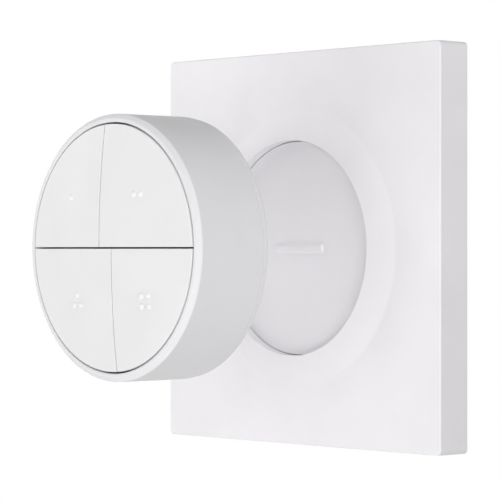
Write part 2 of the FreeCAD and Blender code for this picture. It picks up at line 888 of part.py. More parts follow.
def rear_housing():
    cavity = cylinder(housing_inner_radius, chassis_back, rim_front)
    cavity = cavity.fuse(cylinder(hub_inner_radius, chassis_back, inner_floor))
    shell = housing_outside().cut(cavity)
    boss = cylinder(boss_radius, board_back, inner_floor)
    bosses = on_circle(boss, fixing_circle, fixing_angles)
    shell = joined(shell, bosses + [pocket_block(0)] + lug_stops())
    hole = cylinder(screw_radius + screw_hole_clearance, board_back, screw_seat)
    head_room = cylinder(screw_head_radius + screw_head_clearance, screw_seat, hub_crown_back)
    magnet_back = inner_floor + magnet_thickness
    magnet_room = cylinder(magnet_radius + magnet_clearance, inner_floor, magnet_back)
    pocket = box(
        pocket_floor, housing_radius + housing_wall, land_back, detent_back,
        -pocket_half, pocket_half)
    cuts = on_circle(hole, fixing_circle, fixing_angles)
    cuts += on_circle(head_room, fixing_circle, fixing_angles)
    cuts += on_circle(magnet_room, fixing_circle, magnet_angles)
    cuts += cover_opening()
    cuts += [grip_space(0), around(pocket, detent_angle)]
    return shell.cut(cuts)


def housing_screws():
    one = screw(screw_radius, screw_head_radius, screw_head_height, screw_tip, screw_seat)
    return Part.makeCompound(on_circle(one, fixing_circle, fixing_angles))


def dock_magnets():
    one = cylinder(magnet_radius, inner_floor, inner_floor + magnet_thickness)
    return Part.makeCompound(on_circle(one, fixing_circle, magnet_angles))


def glide_ring():
    inner = pilot_radius + glide_clearance
    return ring(inner + glide_wall, inner, glide_front, glide_back)


# Battery

def battery_holder():
    holder = ring(holder_radius, cell_radius + holder_clearance, board_back, cell_back)
    floor = cylinder(holder_radius, holder_floor_back - holder_floor, holder_floor_back)
    half = contact_width / 2 + contact_margin
    notch_end = contact_margin - cell_radius
    side_notch = box(-2 * holder_radius, notch_end, board_back, cell_back, -half, half)
    floor_slot = box(
        negative_foot_end, negative_touch + negative_tail + contact_margin,
        board_back, holder_floor_back, -half, half)
    return joined(holder, [floor]).cut([side_notch, floor_slot])


def coin_cell():
    can = cylinder(cell_radius, cell_front + cell_cap_height, cell_back)
    cap = cylinder(cell_cap_radius, cell_front, cell_front + cell_cap_height)
    return joined(can, [cap])


def contact_positive():
    """A strip that stands on the board and bears on the side of the cell."""
    foot_y = board_back + contact_thickness / 2
    wall_x = -cell_radius - contact_gap - contact_thickness / 2
    return bent_strip(
        [(wall_x - positive_foot, foot_y), (wall_x, foot_y), (wall_x, cell_back - contact_margin)],
        contact_thickness, contact_width)


def contact_negative():
    """A leaf that rises from the board through the holder's floor to the cell."""
    foot_y = board_back + contact_thickness / 2
    touch_y = cell_front - contact_gap - contact_thickness / 2
    return bent_strip(
        [
            (negative_foot_start, foot_y),
            (negative_foot_end, foot_y),
            (negative_touch, touch_y),
            (negative_touch + negative_tail, touch_y - negative_tail_drop),
        ],
        contact_thickness, contact_width)


def battery_cover():
    """A coin-slot cover that turns under the housing's lip by its three lugs."""
    disc = cylinder(cover_radius, lip_back + lug_clearance, hub_crown_back)
    disc = disc.common(ball(dish_ball_radius, hub_ball_centre))
    pocket_back = coin_slot_floor - cover_web
    plug = cylinder(cover_plug_radius, lug_front, lip_back + lug_clearance)
    plug = plug.cut(cylinder(cover_plug_radius - cover_plug_wall, lug_front, pocket_back))
    lug_root = cover_plug_radius - cover_plug_wall / 2
    lug = sector(lug_radius, lug_root, lug_front, lug_back, 0, lug_width_angle)
    lugs = [around(lug, angle) for angle in lug_angles]
    press_ring = ring(press_ring_radius, press_ring_radius - press_ring_wall, lug_front, pocket_back)
    half_length = rib_length / 2 + rib_end_spread + coin_slot_clearance
    half_width = rib_width / 2 + rib_flank_spread + coin_slot_clearance
    coin_slot = box(
        -half_length, half_length, coin_slot_floor, hub_crown_back, -half_width, half_width)
    return joined(disc, [plug, press_ring] + lugs).cut(coin_slot)


os.makedirs("parts", exist_ok=True)

save("wall_plate", wall_plate())
save("dock_disc", dock_disc())
save("mounting_base", mounting_base())
save("keeper_plate", keeper_plate())
save("dock_screws", dock_screws())
save("adhesive_pads", Part.makeCompound(pad_blocks()))

save_in_puck("rear_housing", rear_housing())
save_in_puck("front_chassis", front_chassis())
save_in_puck("glide_ring", glide_ring())
save_in_puck("circuit_board", circuit_board())
save_in_puck("radio_module", radio_module())
save_in_puck("board_parts", board_parts())
save_in_puck("rotation_sensors", rotation_sensors())
save_in_puck("detent_spring", detent_spring())
save_in_puck("battery_holder", battery_holder())
save_in_puck("coin_cell", coin_cell())
save_in_puck("contact_positive", contact_positive())
save_in_puck("contact_negative", contact_negative())
save_in_puck("dock_magnets", dock_magnets())
save_in_puck("housing_screws", housing_screws())
save_in_puck("grip_pad", grip_space(grip_clearance))
save_in_puck("battery_cover", battery_cover())

save_in_puck("dial_ring", dial_ring())
save_in_puck("detent_ring", detent_ring())
save_in_puck("magnet_ring", magnet_ring())

for dots, (column, row) in button_sides.items():
    save_in_puck("button_" + str(dots), button_cap(dots, column, row))
    save_in_puck("switch_plunger_" + str(dots), switch_plunger(column, row))
    save_in_puck("switch_body_" + str(dots), switch_body(column, row))
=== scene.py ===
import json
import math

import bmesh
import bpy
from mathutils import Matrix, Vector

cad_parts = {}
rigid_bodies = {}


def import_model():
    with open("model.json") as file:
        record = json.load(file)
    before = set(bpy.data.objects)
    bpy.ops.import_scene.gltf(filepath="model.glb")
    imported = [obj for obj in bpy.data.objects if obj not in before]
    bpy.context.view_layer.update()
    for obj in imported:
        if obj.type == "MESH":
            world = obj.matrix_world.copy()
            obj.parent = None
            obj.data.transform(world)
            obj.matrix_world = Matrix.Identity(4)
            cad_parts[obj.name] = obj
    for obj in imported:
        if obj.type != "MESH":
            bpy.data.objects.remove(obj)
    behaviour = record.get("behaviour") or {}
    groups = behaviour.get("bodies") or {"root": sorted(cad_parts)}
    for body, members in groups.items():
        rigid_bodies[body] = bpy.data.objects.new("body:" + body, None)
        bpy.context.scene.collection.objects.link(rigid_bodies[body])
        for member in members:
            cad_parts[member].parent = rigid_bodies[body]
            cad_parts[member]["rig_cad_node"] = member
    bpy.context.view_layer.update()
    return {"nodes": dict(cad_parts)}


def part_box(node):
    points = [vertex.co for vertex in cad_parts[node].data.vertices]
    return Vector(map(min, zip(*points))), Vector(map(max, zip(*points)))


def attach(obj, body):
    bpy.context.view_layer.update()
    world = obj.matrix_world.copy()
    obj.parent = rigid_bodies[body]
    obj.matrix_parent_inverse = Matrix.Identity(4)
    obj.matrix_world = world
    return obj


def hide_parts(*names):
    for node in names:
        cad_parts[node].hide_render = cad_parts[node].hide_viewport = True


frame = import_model()

# %% [markdown]
# # A round battery wall switch, lifted off its square cover plate
#
# The object has two halves. A square cover plate stays on the wall, with a raised round collar and
# a dished floor inside it. A round puck hangs in front of it, with a turning ring, four push
# buttons under a shallow dome, and a rear housing. The CAD model gives the places and the main
# sizes. Here the visible pieces are modelled again with finer edges, and every piece gets its
# finish.
#
# Work runs in this order: camera, light, modelling helpers, floor, pieces, finishes. Blender counts
# in metres, so a size in millimetres is written as a number times MM.

MM = 0.001

# %% [markdown]
# ## Camera
#
# The object is looked at from its right front, level with its middle, through a long lens. The
# angle was found from the plate's corners: its left and right edges stay upright, and the top and
# bottom edges close towards each other only a little, so the camera is far away for its size.

# %% Camera
VIEW_ANGLE = math.radians(47.8)
CAMERA_PLACE = Vector((374.7, -360.4, -0.4)) * MM
LENS_MM = 181.9

camera_data = bpy.data.cameras.new("camera")
camera_data.lens = LENS_MM
camera = bpy.data.objects.new("camera", camera_data)
camera.location = CAMERA_PLACE
camera.rotation_euler = (math.pi / 2, 0, VIEW_ANGLE)
bpy.context.scene.collection.objects.link(camera)
bpy.context.scene.camera = camera
bpy.context.scene.view_settings.view_transform = "Standard"
print("camera", [round(value, 4) for value in camera.location])

# %% [markdown]
# ## One helper for nodes, one for colours
#
# Every material and the world are node trees. One function adds a node, sets it up and links it.
# Colours are written as the hex values that a paint chart would show, and turned into the linear
# values that light is worked out in.

# %% Node and colour helpers
def add_node(tree, kind, inputs=None, **settings):
    """Adds a node. Each input takes a number, a colour or another node's output."""
    node = tree.nodes.new(kind)
    for name, value in settings.items():
        setattr(node, name, value)
    for name, value in (inputs or {}).items():
        if isinstance(value, bpy.types.NodeSocket):
            tree.links.new(value, node.inputs[name])
        else:
            node.inputs[name].default_value = value
    return node


def linear(hex_code):
    """Turns a colour such as EDEDEF into linear light."""
    parts = [int(hex_code[start:start + 2], 16) / 255 for start in (0, 2, 4)]
    return [p / 12.92 if p <= 0.04045 else ((p + 0.055) / 1.055) ** 2.4 for p in parts] + [1.0]


# %% [markdown]
# ## Studio light
#
# White plastic on white needs soft light that still has a direction, or every edge drowns. Large
# soft boxes stand round the object. What the camera sees behind the object is plain white, and
# shiny pieces reflect that white too, while the light that falls on the object is only as strong
# as its colours need.

# %% World
world = bpy.data.worlds.new("studio")
bpy.context.scene.world = world
world.use_nodes = True
world.node_tree.nodes.clear()
AMBIENT = 0.15
WHITE = linear("FFFFFF")


def seen_share(tree):
    """One where the camera sees this, directly, through something or as a reflection."""
    path = add_node(tree, "ShaderNodeLightPath")
    share = path.outputs["Is Camera Ray"]
    for kind in ("Is Transmission Ray", "Is Glossy Ray"):
        larger = add_node(tree, "ShaderNodeMath", {0: share, 1: path.outputs[kind]},
                          operation="MAXIMUM")
        share = larger.outputs[0]
    return share


tree = world.node_tree
around = add_node(tree, "ShaderNodeBackground", {"Color": WHITE, "Strength": AMBIENT})
backdrop = add_node(tree, "ShaderNodeBackground", {"Color": WHITE, "Strength": 1.0})
either = add_node(tree, "ShaderNodeMixShader", {0: seen_share(tree), 1: around.outputs[0],
                  2: backdrop.outputs[0]})
add_node(tree, "ShaderNodeOutputWorld", {"Surface": either.outputs[0]})
print("world light", AMBIENT)

# %% [markdown]
# The soft boxes are square area lamps. Their places and sizes are in metres, their power in watts.
# Most stand in front and to the right. The low ones light the undersides, the two near ones give
# the ring its soft fall-off towards the top, and the rear one is for views from behind. Their
# powers were balanced against each other until every face had its tone.

# %% Soft boxes
SUBJECT = Vector((0, -0.03, 0))


def soft_box(name, place, size, power):
    """A square area lamp that looks at the object."""
    data = bpy.data.lights.new(name, "AREA")
    data.shape = "SQUARE"
    data.size = size
    data.energy = power
    lamp = bpy.data.objects.new(name, data)
    lamp.location = place
    lamp.rotation_euler = (SUBJECT - Vector(place)).to_track_quat("-Z", "Y").to_euler()
    bpy.context.scene.collection.objects.link(lamp)
    print(name, "size", size, "power", power)


soft_box("front_left_low", (-0.45, -0.7, -0.35), 0.5, 0.68)
soft_box("front_high", (0, -0.9, 0.35), 0.6, 0.4)
soft_box("front", (0, -0.95, 0), 0.4, 1.18)
soft_box("front_right", (0.6, -0.75, 0), 0.5, 0.6)
soft_box("front_right_slant", (0.8, -0.5, -0.15), 0.4, 3.1)
soft_box("high_front_left", (-0.5, -0.7, 0.45), 0.5, 0.38)
soft_box("high_front_right", (0.5, -0.7, 0.45), 0.5, 0.3)
soft_box("right_side", (0.9, -0.15, 0.1), 0.6, 0.55)
soft_box("low_front", (0, -0.6, -0.6), 0.4, 1.16)
soft_box("below_left", (-0.45, -0.3, -0.5), 0.4, 0.7)
soft_box("near_left_high", (-0.3, -0.12, 0.15), 0.15, 0.4)
soft_box("near_right_high", (0.3, -0.12, 0.25), 0.15, 0.32)
soft_box("rear", (-0.1, 0.9, 0.15), 0.6, 2.5)

# %% [markdown]
# ## Helpers for modelling
#
# Each piece starts as a primitive and is shaped in edit mode, as by hand. An operator works on all
# that is selected, so nothing may stay selected from before. Vertices, edges and faces are picked
# by their place.

# %% Start, pick and draw out
NEAR = 1e-6


def start(name, add, **settings):
    """Adds a primitive, with nothing else selected, and opens it in edit mode."""
    if bpy.context.object and bpy.context.object.mode != "OBJECT":
        bpy.ops.object.mode_set(mode="OBJECT")
    bpy.ops.object.select_all(action="DESELECT")
    add(**settings)
    piece = bpy.context.object
    piece.name = name
    bpy.ops.object.transform_apply(location=True, rotation=True, scale=True)
    bpy.ops.object.mode_set(mode="EDIT")
    bpy.ops.mesh.select_mode(type="VERT")
    bpy.ops.mesh.select_all(action="SELECT")
    return piece


def pick(kind, test, open_only=False):
    """Selects the vertices, edges or faces of which every corner passes the test."""
    bpy.ops.mesh.select_mode(type=kind)
    bpy.ops.mesh.select_all(action="DESELECT")
    mesh = bmesh.from_edit_mesh(bpy.context.object.data)
    parts = {"VERT": mesh.verts, "EDGE": mesh.edges, "FACE": mesh.faces}[kind]
    for part in parts:
        corners = [part.co] if kind == "VERT" else [vertex.co for vertex in part.verts]
        if all(test(corner) for corner in corners) and not (open_only and len(part.link_faces) > 1):
            part.select_set(True)
    mesh.select_flush_mode()
    bmesh.update_edit_mesh(bpy.context.object.data)


def at_depth(depth):
    """A test for points at this place along Y."""
    return lambda point: abs(point.y - depth) < NEAR


def draw_out(step):
    """Extrudes what is selected by this much."""
    bpy.ops.mesh.extrude_region_move(TRANSFORM_OT_translate={"value": step})


# %% [markdown]
# Round pieces start as a single point that is drawn out along the section, which is then spun about
# the object's axis. Every piece ends the same way: doubles are merged, faces are turned outwards,
# and the shading follows the larger faces, so that fine roundings don't dent the flats.

# %% Spin, join and close
SHARP_DEGREES = 35
ROUNDING_STEPS = 5
SPIN_STEPS = 192


def close_piece(piece, sharp_degrees=SHARP_DEGREES):
    """Merges doubles, points the faces outwards and shades the piece by its larger faces."""
    bpy.ops.mesh.select_mode(type="VERT")
    bpy.ops.mesh.select_all(action="SELECT")
    bpy.ops.mesh.remove_doubles(threshold=NEAR)
    bpy.ops.mesh.normals_make_consistent(inside=False)
    bpy.ops.object.mode_set(mode="OBJECT")
    bpy.ops.object.shade_smooth_by_angle(angle=math.radians(sharp_degrees))
    normals = piece.modifiers.new("normals", "WEIGHTED_NORMAL")
    normals.keep_sharp = True
    bpy.ops.object.modifier_apply(modifier=normals.name)
    print(piece.name, len(piece.data.polygons), "faces")


def spun(name, section, steps=SPIN_STEPS, closed=True):
    """A round piece. The section is a list of (radius, y, corner offset), all in metres."""
    piece = start(name, bpy.ops.mesh.primitive_plane_add, size=MM)
    bpy.ops.mesh.merge(type="CENTER")
    bpy.ops.transform.translate(value=(section[0][0], section[0][1], 0))
    for before, here in zip(section, section[1:]):
        draw_out((here[0] - before[0], here[1] - before[1], 0))
    if closed:
        ends = (section[0], section[-1])
        pick("VERT", lambda p: any(abs(p.x - e[0]) + abs(p.y - e[1]) < NEAR for e in ends))
        bpy.ops.mesh.edge_face_add()
    for radius, y, offset in section:
        if offset:
            pick("VERT", lambda p: abs(p.x - radius) + abs(p.y - y) < NEAR)
            bpy.ops.mesh.bevel(offset=offset, segments=ROUNDING_STEPS, affect="VERTICES",
                               clamp_overlap=False)
    bpy.ops.mesh.select_all(action="SELECT")
    bpy.ops.mesh.spin(steps=steps, angle=math.tau, center=(0, 0, 0), axis=(0, 1, 0))
    return piece


def join_into(piece, others):
    """Makes several open meshes one."""
    bpy.ops.object.mode_set(mode="OBJECT")
    bpy.ops.object.select_all(action="DESELECT")
    for other in others + [piece]:
        other.select_set(True)
    bpy.context.view_layer.objects.active = piece
    bpy.ops.object.join()
    bpy.ops.object.mode_set(mode="EDIT")


# %% [markdown]
# ## Floor
#
# The switch hangs on a wall, so nothing stands on the floor. A round white studio floor lies well
# below it. It is out of sight from the camera's place, shows in the views from above, and throws
# light back up onto the undersides.

# %% Floor
FLOOR_DEPTH = 0.7
FLOOR_RADIUS = 1.5
FLOOR_POINTS = 96

studio_floor = start("studio_floor", bpy.ops.mesh.primitive_circle_add, vertices=FLOOR_POINTS,
                     radius=FLOOR_RADIUS, fill_type="NGON", location=(0, 0, -FLOOR_DEPTH))
bpy.ops.object.mode_set(mode="OBJECT")
print("floor", round(FLOOR_DEPTH / MM), "mm below the middle")

# %% [markdown]
# ## Cover plate
#
# On the real switch this is one injection moulding: a flat square with sharp but not cutting edges
# and a collar that swells up round the hole. It could be a cube with a boolean hole, but booleans
# leave long thin faces that shade badly next to the soft collar. So the square frame is drawn out
# from a plane, the collar is spun, and the flat between them is filled, which stays flat.

# %% Square frame of the cover plate
PLATE_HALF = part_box("wall_plate")[1].x
PLATE_DEPTH = 7.6 * MM
PLATE_WALL = 2.0 * MM
PLATE_CORNER = 1.0 * MM
PLATE_CORNER_STEPS = 8
PLATE_EDGE = 0.35 * MM
EDGE_STEPS = 4

plate_front = -PLATE_DEPTH
plate_inside = PLATE_WALL - PLATE_DEPTH
inner_share = (PLATE_HALF - PLATE_WALL) / PLATE_HALF

cover_plate = start("cover_plate", bpy.ops.mesh.primitive_plane_add,
                    size=2 * PLATE_HALF, rotation=(math.pi / 2, 0, 0))
bpy.ops.mesh.bevel(offset=PLATE_CORNER, segments=PLATE_CORNER_STEPS, affect="VERTICES")
bpy.ops.mesh.select_all(action="SELECT")
draw_out((0, -PLATE_DEPTH, 0))
pick("EDGE", at_depth(plate_front))
bpy.ops.mesh.bevel(offset=PLATE_EDGE, segments=EDGE_STEPS, affect="EDGES")
pick("FACE", at_depth(plate_front))
bpy.ops.mesh.delete(type="ONLY_FACE")
pick("FACE", at_depth(0))
bpy.ops.mesh.delete(type="ONLY_FACE")
pick("EDGE", at_depth(0))
draw_out((0, 0, 0))
bpy.ops.transform.resize(value=(inner_share, 1, inner_share), center_override=(0, 0, 0))
draw_out((0, plate_inside, 0))
print("plate", round(2 * PLATE_HALF / MM, 2), "mm square,", round(PLATE_DEPTH / MM, 2), "mm deep")

# %% [markdown]
# The collar climbs from its foot to the mouth in one straight slope, with a soft blend at the foot
# and a small rounding at the mouth. Behind the mouth a short tube leads back to the floor disc.

# %% Collar, and the flats between
COLLAR_FOOT = 28.0 * MM
COLLAR_MOUTH = 21.85 * MM
COLLAR_HEIGHT = 2.07 * MM
COLLAR_BLEND = 0.4 * MM
MOUTH_EDGE = 0.2 * MM
TUBE_BACK = -5.0 * MM
TUBE_OUTER = 23.45 * MM

collar = spun("collar", [
    (COLLAR_FOOT + 2 * COLLAR_BLEND, plate_front, 0),
    (COLLAR_FOOT, plate_front, COLLAR_BLEND),
    (COLLAR_MOUTH, plate_front - COLLAR_HEIGHT, MOUTH_EDGE),
    (COLLAR_MOUTH, TUBE_BACK, 0),
    (TUBE_OUTER, TUBE_BACK, 0),
    (TUBE_OUTER, plate_inside, 0),
], closed=False)
join_into(cover_plate, [collar])
pick("EDGE", at_depth(plate_front), open_only=True)
bpy.ops.mesh.fill()
pick("EDGE", at_depth(plate_inside), open_only=True)
bpy.ops.mesh.fill()
close_piece(cover_plate)
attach(cover_plate, "wall_mount")
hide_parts("wall_plate")

# %% [markdown]
# ## Dished floor with its rib
#
# The floor in the collar is a separate moulding, a shallow dish that the puck's curved back sits
# in. The dish is spun from an arc of a large circle.

# %% Dished floor
DISC_RADIUS = 21.7 * MM
DISC_BACK = -5.8 * MM
DISH_DEPTH = 0.75 * MM
DISC_EDGE = 0.1 * MM
DISH_STEPS = 24

dish_ball = (DISC_RADIUS ** 2 + DISH_DEPTH ** 2) / (2 * DISH_DEPTH)


def dish_front(radius):
    """How deep the dish lies at this distance from its middle."""
    return plate_front + DISH_DEPTH - dish_ball + math.sqrt(dish_ball ** 2 - radius ** 2)


dish_arc = [(DISC_RADIUS * step / DISH_STEPS, dish_front(DISC_RADIUS * step / DISH_STEPS), 0)
            for step in range(DISH_STEPS)]
dock_floor = spun("dock_floor", dish_arc + [
    (DISC_RADIUS, plate_front, DISC_EDGE),
    (DISC_RADIUS, DISC_BACK, 0),
    (0, DISC_BACK, 0),
], closed=False)
close_piece(dock_floor)

# %% [markdown]
# One straight rib crosses the middle of the dish and drops into the slot in the puck's back. It is
# a block whose front is drawn in, so that its two flanks slope. Its ends are steep and rounded, and
# its foot is sunk a little into the dish, so that no gap shows.

# %% Rib
RIB_LENGTH = 13.9 * MM
RIB_WIDTH = 0.9 * MM
RIB_HEIGHT = 0.85 * MM
RIB_ROOT = 0.2 * MM
RIB_FLANK = 0.75 * MM
RIB_END = 0.12 * MM
RIB_EDGE = 0.12 * MM
RIB_CORNER = 0.4 * MM
RIB_CORNER_STEPS = 6

rib_front = plate_front + DISH_DEPTH - RIB_HEIGHT
rib_foot = plate_front + DISH_DEPTH + RIB_ROOT
spread = (rib_foot - rib_front) / RIB_HEIGHT
foot_length = RIB_LENGTH + 2 * RIB_END * spread
foot_width = RIB_WIDTH + 2 * RIB_FLANK * spread
rib = start("rib", bpy.ops.mesh.primitive_cube_add, size=1,
            location=(0, (rib_front + rib_foot) / 2, 0),
            scale=(foot_length, rib_foot - rib_front, foot_width))
pick("FACE", at_depth(rib_front))
bpy.ops.transform.resize(value=(RIB_LENGTH / foot_length, 1, RIB_WIDTH / foot_width),
                         center_override=(0, rib_front, 0))
for side in (-1, 1):
    for row in (-1, 1):
        pick("EDGE", lambda p: p.x * side > 0 and p.z * row > 0)
        bpy.ops.mesh.bevel(offset=RIB_CORNER, segments=RIB_CORNER_STEPS, affect="EDGES")
pick("EDGE", lambda p: p.y < rib_front + NEAR)
bpy.ops.mesh.bevel(offset=RIB_EDGE, segments=EDGE_STEPS, affect="EDGES")
close_piece(rib)
join_into(dock_floor, [rib])
bpy.ops.object.mode_set(mode="OBJECT")
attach(dock_floor, "wall_mount")
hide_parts("dock_disc")

# %% [markdown]
# ## Turning ring
#
# The ring is the part that the fingers turn. Its narrow front falls outwards a little, and its
# front edge is slanted and lightly rounded, which catches the light as a bright band. Its other
# corners are rounded only a little. Inside it is a land that keeps it on the housing. The whole
# section is drawn out and spun, in finer steps than the other pieces, because its outline is what
# the eye follows.

# %% Turning ring
RING_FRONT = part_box("dial_ring")[0].y
RING_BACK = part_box("dial_ring")[1].y
RING_OUTER = 25.6 * MM
RING_INNER = 24.2 * MM
RING_LIP = 24.0 * MM
RING_LIP_DEPTH = 1.6 * MM
RING_FRONT_DROP = 0.12 * MM
RING_CHAMFER_WIDTH = 0.85 * MM
RING_CHAMFER_DEPTH = 0.92 * MM
RING_CHAMFER_ROUND = 0.15 * MM
RING_LIP_ROUND = 0.25 * MM
RING_SMALL_ROUND = 0.12 * MM
LAND_INNER = 22.1 * MM
LAND_FRONT = 4.08 * MM
LAND_BACK = 5.08 * MM
RING_SPIN_STEPS = 256

turning_ring = spun("turning_ring", [
    (RING_LIP, RING_FRONT, RING_LIP_ROUND),
    (RING_OUTER - RING_CHAMFER_WIDTH, RING_FRONT + RING_FRONT_DROP, RING_CHAMFER_ROUND),
    (RING_OUTER, RING_FRONT + RING_CHAMFER_DEPTH, RING_CHAMFER_ROUND),
    (RING_OUTER, RING_BACK, RING_SMALL_ROUND),
    (RING_INNER, RING_BACK, 0),
    (RING_INNER, RING_FRONT + LAND_BACK, 0),
    (LAND_INNER, RING_FRONT + LAND_BACK, 0),
    (LAND_INNER, RING_FRONT + LAND_FRONT, 0),
    (RING_INNER, RING_FRONT + LAND_FRONT, 0),
    (RING_INNER, RING_FRONT + RING_LIP_DEPTH, 0),
    (RING_LIP, RING_FRONT + RING_LIP_DEPTH, 0),
], steps=RING_SPIN_STEPS)
close_piece(turning_ring)
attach(turning_ring, "dial")
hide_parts("dial_ring")

# %% [markdown]
# ## Four button caps
#
# The caps are one shallow dome cut in four, with even gaps between them and round them. The upright
# cut is stepped: it lies to the left above the middle and to the right below it. Each cap carries
# one to four raised dots, so that it can be told by touch. The groups of dots don't sit quite level
# with each other, so each has its own small lift.

# %% Dots
DOT_CENTRE_X = 10.05 * MM
DOT_SHIFT_X = 1.05 * MM
DOT_CENTRE_Z = 10.0 * MM
DOT_PITCH = 1.9 * MM
DOT_RADIUS = 0.65 * MM
DOT_HEIGHT = 0.48 * MM
DOT_LIFT = {1: -0.3 * MM, 2: 0.1 * MM, 3: -0.15 * MM, 4: -0.05 * MM}
DOT_PATTERNS = {
    1: [(0, 0)],
    2: [(-0.5, 0), (0.5, 0)],
    3: [(0, 0.5), (-0.5, -0.5), (0.5, -0.5)],
    4: [(-0.5, 0.5), (0.5, 0.5), (-0.5, -0.5), (0.5, -0.5)],
}
DOT_STEPS = 24


def raised_dot(name, x, z):
    """A low round bump with its foot sunk a little into the cap."""
    ball = (DOT_RADIUS ** 2 + DOT_HEIGHT ** 2) / (2 * DOT_HEIGHT)
    dot = start(name, bpy.ops.mesh.primitive_uv_sphere_add, segments=DOT_STEPS,
                ring_count=DOT_STEPS, radius=ball,
                location=(x, RING_FRONT - DOT_HEIGHT + ball, z), rotation=(math.pi / 2, 0, 0))
    pick("VERT", lambda p: p.y > RING_FRONT + DOT_HEIGHT)
    bpy.ops.mesh.delete(type="VERT")
    return dot


print("dots", round(2 * DOT_RADIUS / MM, 2), "mm wide and", round(DOT_HEIGHT / MM, 2), "mm high")

# %% [markdown]
# A disc is cut to the cap's outline, drawn out, and rounded at its edges while its front is still
# one flat face. After that the front is divided, and its points are pushed out onto the dome, so
# that outline, edge and dots follow it.

# %% Button caps
CAP_RADIUS = 23.65 * MM
CAP_SKIRT = 2.4 * MM
DOME_HEIGHT = 1.5 * MM
GAP = 0.32 * MM
SPLIT_STEP = 1.8 * MM
CAP_EDGE = 0.12 * MM
CAP_CORNER = 0.1 * MM
CAP_GRID = 2.0 * MM
CAP_POINTS = 256
CAP_EDGE_STEPS = 3
CORNER_REACH = 20 * NEAR
CAP_SIDES = {1: (-1, 1), 2: (1, 1), 3: (-1, -1), 4: (1, -1)}

dome_ball = (CAP_RADIUS ** 2 + DOME_HEIGHT ** 2) / (2 * DOME_HEIGHT)


def dome_rise(point):
    """How far the dome stands out at this place."""
    return math.sqrt(dome_ball ** 2 - point.x ** 2 - point.z ** 2) - dome_ball + DOME_HEIGHT


def button_cap(dots, column, row):
    """One cap, with its gaps to its neighbours."""
    split = -row * SPLIT_STEP + column * GAP / 2
    cap = start("button_cap_" + str(dots), bpy.ops.mesh.primitive_circle_add,
                vertices=CAP_POINTS, radius=CAP_RADIUS, fill_type="NGON",
                location=(0, RING_FRONT + CAP_SKIRT, 0), rotation=(math.pi / 2, 0, 0))
    upright_cut = (split, 0, 0), (-column, 0, 0)
    level_cut = (0, 0, row * GAP / 2), (0, 0, -row)
    for place, away in (upright_cut, level_cut):
        bpy.ops.mesh.select_all(action="SELECT")
        bpy.ops.mesh.bisect(plane_co=place, plane_no=away, clear_outer=True)
    corner = Vector((split, 0, row * GAP / 2))
    far_x = column * math.sqrt(CAP_RADIUS ** 2 - corner.z ** 2)
    far_z = row * math.sqrt(CAP_RADIUS ** 2 - corner.x ** 2)
    corners = [(corner.x, corner.z), (far_x, corner.z), (corner.x, far_z)]
    pick("VERT", lambda p: any(abs(p.x - x) + abs(p.z - z) < CORNER_REACH for x, z in corners))
    bpy.ops.mesh.bevel(offset=CAP_CORNER, segments=CAP_EDGE_STEPS, affect="VERTICES")
    pick("FACE", lambda p: True)
    draw_out((0, -CAP_SKIRT, 0))
    pick("EDGE", at_depth(RING_FRONT))
    bpy.ops.mesh.bevel(offset=CAP_EDGE, segments=CAP_EDGE_STEPS, affect="EDGES")
    lines = int(CAP_RADIUS / CAP_GRID)
    for line in range(-lines, lines + 1):
        upright_line = (line * CAP_GRID, 0, 0), (1, 0, 0)
        level_line = (0, 0, line * CAP_GRID), (0, 0, 1)
        for place, normal in (upright_line, level_line):
            pick("FACE", lambda p: p.y < RING_FRONT + CAP_EDGE + NEAR)
            bpy.ops.mesh.bisect(plane_co=place, plane_no=normal)
    middle_x = column * DOT_CENTRE_X - row * DOT_SHIFT_X
    middle_z = row * DOT_CENTRE_Z + DOT_LIFT[dots]
    bumps = [raised_dot("dot", middle_x + step_x * DOT_PITCH, middle_z + step_z * DOT_PITCH)
             for step_x, step_z in DOT_PATTERNS[dots]]
    join_into(cap, bumps)
    close_piece(cap)
    for vertex in cap.data.vertices:
        if vertex.co.y < RING_FRONT + CAP_SKIRT - NEAR:
            vertex.co.y -= dome_rise(vertex.co)
    return cap


for dots, (column, row) in CAP_SIDES.items():
    cap = button_cap(dots, column, row)
    body = "button_" + str(dots)
    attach(cap, body)
    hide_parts(body)

# %% [markdown]
# ## Grip pad
#
# On the puck's curved back a thin ring of silicone is let in, so that the puck keeps still when it
# lies on a table. Its mould leaves fine round ribs. They could be a bump in the material, but they
# catch light at the pad's edge too, so the wavy section is drawn out and spun.

# %% Grip pad
PAD_INNER = 15.55 * MM
PAD_OUTER = 20.45 * MM
PAD_THICKNESS = 0.45 * MM
PAD_RIBS = 7
PAD_STEPS_PER_RIB = 8
PAD_RIB_DEPTH = 0.12 * MM
HUB_RADIUS = 21.4 * MM
HUB_EDGE_BACK = RING_FRONT + 20.05 * MM
PAD_SHARP_DEGREES = 50


def hub_back(radius):
    """How far back the puck's curved rear face lies at this distance from its middle."""
    edge_rise = math.sqrt(dish_ball ** 2 - HUB_RADIUS ** 2)
    return HUB_EDGE_BACK + math.sqrt(dish_ball ** 2 - radius ** 2) - edge_rise


pad_section = [(PAD_OUTER, hub_back(PAD_OUTER) - PAD_THICKNESS, 0),
               (PAD_INNER, hub_back(PAD_INNER) - PAD_THICKNESS, 0)]
pad_steps = PAD_RIBS * PAD_STEPS_PER_RIB
for step in range(pad_steps + 1):
    radius = PAD_INNER + (PAD_OUTER - PAD_INNER) * step / pad_steps
    wave = 0.5 - 0.5 * math.cos(math.tau * (step / PAD_STEPS_PER_RIB + 0.5))
    pad_section.append((radius, hub_back(radius) - PAD_RIB_DEPTH * (1 - wave), 0))
ribbed_pad = spun("ribbed_pad", pad_section)
close_piece(ribbed_pad, PAD_SHARP_DEGREES)
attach(ribbed_pad, "puck")
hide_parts("grip_pad")

